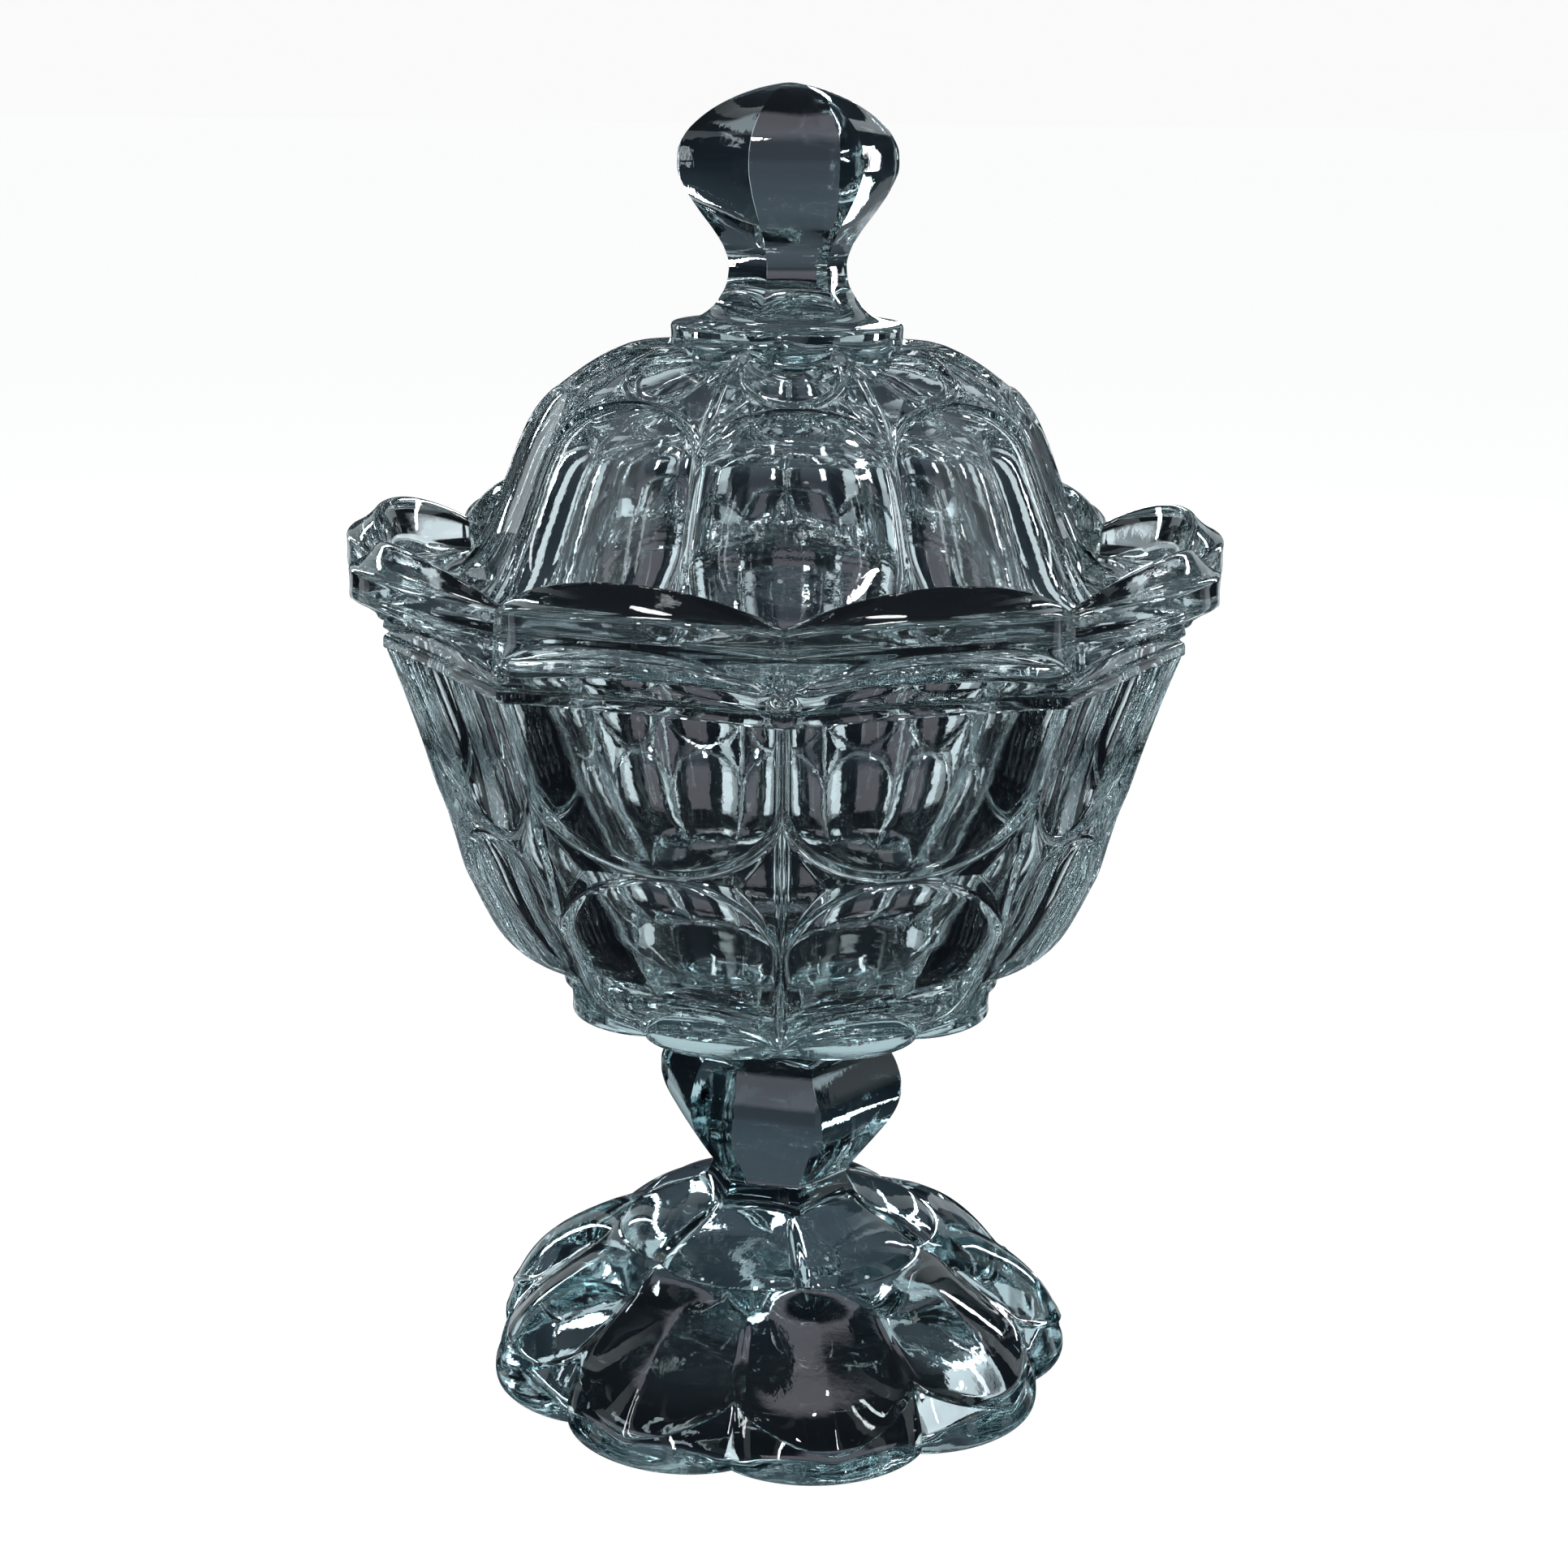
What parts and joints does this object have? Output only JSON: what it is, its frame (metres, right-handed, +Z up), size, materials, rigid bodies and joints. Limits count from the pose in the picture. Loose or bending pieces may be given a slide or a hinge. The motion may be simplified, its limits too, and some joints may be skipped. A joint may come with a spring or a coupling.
{
  "type": "covered candy dish",
  "caption": "Covered pedestal candy dish in clear pressed glass: panelled bowl with a lobed rim, domed lid with a faceted knob, petalled foot.",
  "frame": {"origin": "centre of the dish's vertical axis, on the surface that the foot stands on", "axes": "+Z up along the dish's axis; -Y is the front, where one ridge of the bowl faces; +X is to the right seen from the front"},
  "size_m": [0.1498, 0.1483, 0.2226],
  "materials": {
    "lid_glass": "fire-polished pressed glass",
    "bowl_glass": "fire-polished pressed glass",
    "wafer_glass": "fire-polished glass",
    "foot_glass": "fire-polished pressed glass"
  },
  "bodies": {
    "dish": {"bowl": "bowl_glass", "joining_wafer": "wafer_glass", "pedestal_foot": "foot_glass"},
    "lid": {"lid": "lid_glass"}
  },
  "joints": [
    {"name": "lid_lift", "type": "slide", "parent": "dish", "child": "lid", "axis": [0, 0, 1], "range_m": [0, 0.15]}
  ]
}
